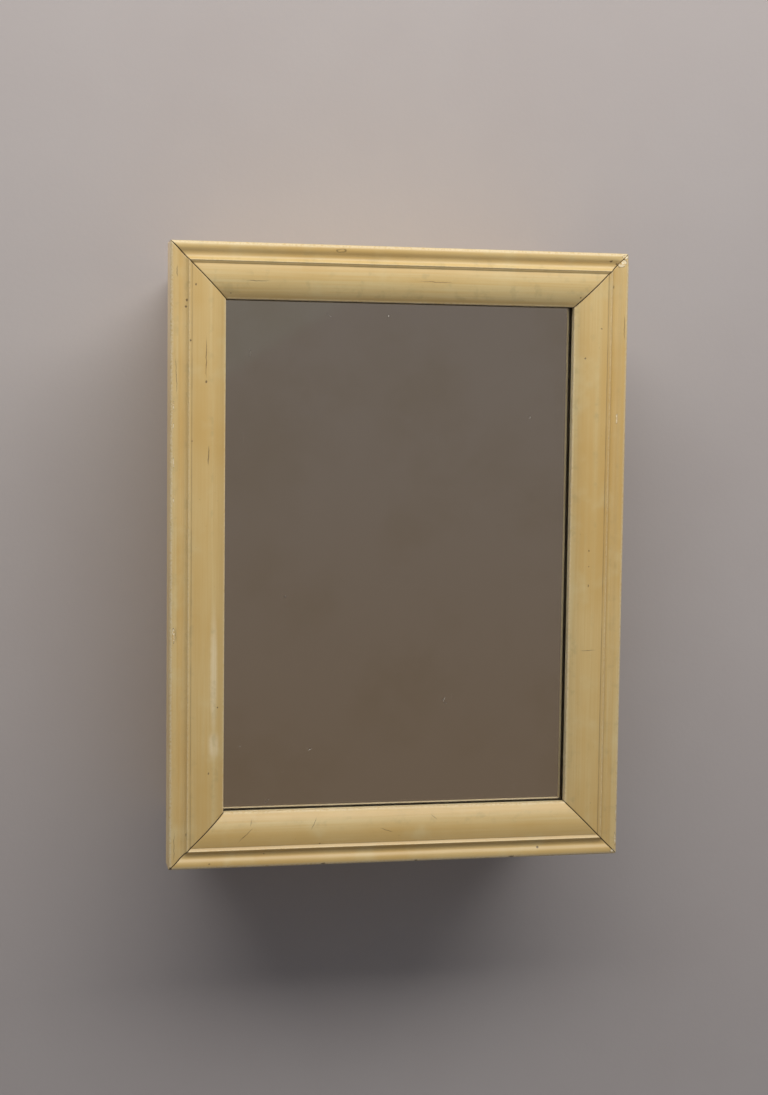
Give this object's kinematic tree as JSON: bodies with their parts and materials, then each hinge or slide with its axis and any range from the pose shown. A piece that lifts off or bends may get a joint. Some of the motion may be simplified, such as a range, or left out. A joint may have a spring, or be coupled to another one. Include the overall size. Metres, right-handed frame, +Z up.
{
  "type": "wall medicine cabinet",
  "caption": "Shallow wall cabinet with fixed shelves behind an overlay door: a mitred, moulded frame around a mirror, on butt hinges with a magnetic catch.",
  "frame": {"origin": "centre of the back of the cabinet, on the wall", "axes": "+X to the right of someone facing the mirror, +Y into the wall, +Z up; the door faces -Y"},
  "size_m": [0.3, 0.134, 0.4],
  "materials": {
    "cream_paint": "old cream oil paint on softwood, satin",
    "inside_paint": "cream paint on softwood, flat",
    "plywood": "bare birch plywood",
    "hardboard": "brown hardboard",
    "bare_wood": "bare softwood",
    "mirror": "silvered float glass",
    "brass": "dulled brass",
    "steel": "zinc-plated steel",
    "ferrite": "sintered ferrite, matt",
    "catch_plastic": "off-white moulded plastic"
  },
  "bodies": {
    "cabinet": {"carcass_side_left": "cream_paint", "carcass_side_right": "cream_paint", "carcass_top": "cream_paint", "carcass_bottom": "cream_paint", "back_panel": "plywood", "shelf_upper": "inside_paint", "shelf_lower": "inside_paint", "hanging_rail": "inside_paint", "screw_cup_left": "brass", "screw_cup_right": "brass", "catch_case": "catch_plastic", "catch_magnet": "ferrite", "catch_pole_inner": "steel", "catch_pole_outer": "steel", "catch_screw_upper": "steel", "catch_screw_lower": "steel", "hinge_upper_carcass_leaf": "brass", "hinge_lower_carcass_leaf": "brass", "hinge_upper_pin": "brass", "hinge_lower_pin": "brass", "hinge_upper_carcass_screw_1": "brass", "hinge_upper_carcass_screw_2": "brass", "hinge_lower_carcass_screw_1": "brass", "hinge_lower_carcass_screw_2": "brass", "corner_nail_top_left_1": "steel", "corner_nail_top_left_2": "steel", "corner_nail_top_right_1": "steel", "corner_nail_top_right_2": "steel", "corner_nail_bottom_left_1": "steel", "corner_nail_bottom_left_2": "steel", "corner_nail_bottom_right_1": "steel", "corner_nail_bottom_right_2": "steel"},
    "door": {"door_rail_top": "cream_paint", "door_rail_bottom": "cream_paint", "door_stile_left": "cream_paint", "door_stile_right": "cream_paint", "mirror_glass": "mirror", "mirror_backing_board": "hardboard", "glazing_bead_top": "bare_wood", "glazing_bead_bottom": "bare_wood", "glazing_bead_left": "bare_wood", "glazing_bead_right": "bare_wood", "mitre_fastener_top_left": "steel", "mitre_fastener_top_right": "steel", "mitre_fastener_bottom_left": "steel", "mitre_fastener_bottom_right": "steel", "catch_strike_plate": "steel", "strike_screw_upper": "steel", "strike_screw_lower": "steel", "hinge_upper_door_leaf": "brass", "hinge_lower_door_leaf": "brass", "hinge_upper_door_screw_1": "brass", "hinge_upper_door_screw_2": "brass", "hinge_lower_door_screw_1": "brass", "hinge_lower_door_screw_2": "brass"}
  },
  "joints": [
    {"name": "door_hinge", "type": "hinge", "parent": "cabinet", "child": "door", "pos_m": [-0.1411, -0.1105, 0], "axis": [0, 0, -1], "range_deg": [0, 105]}
  ]
}
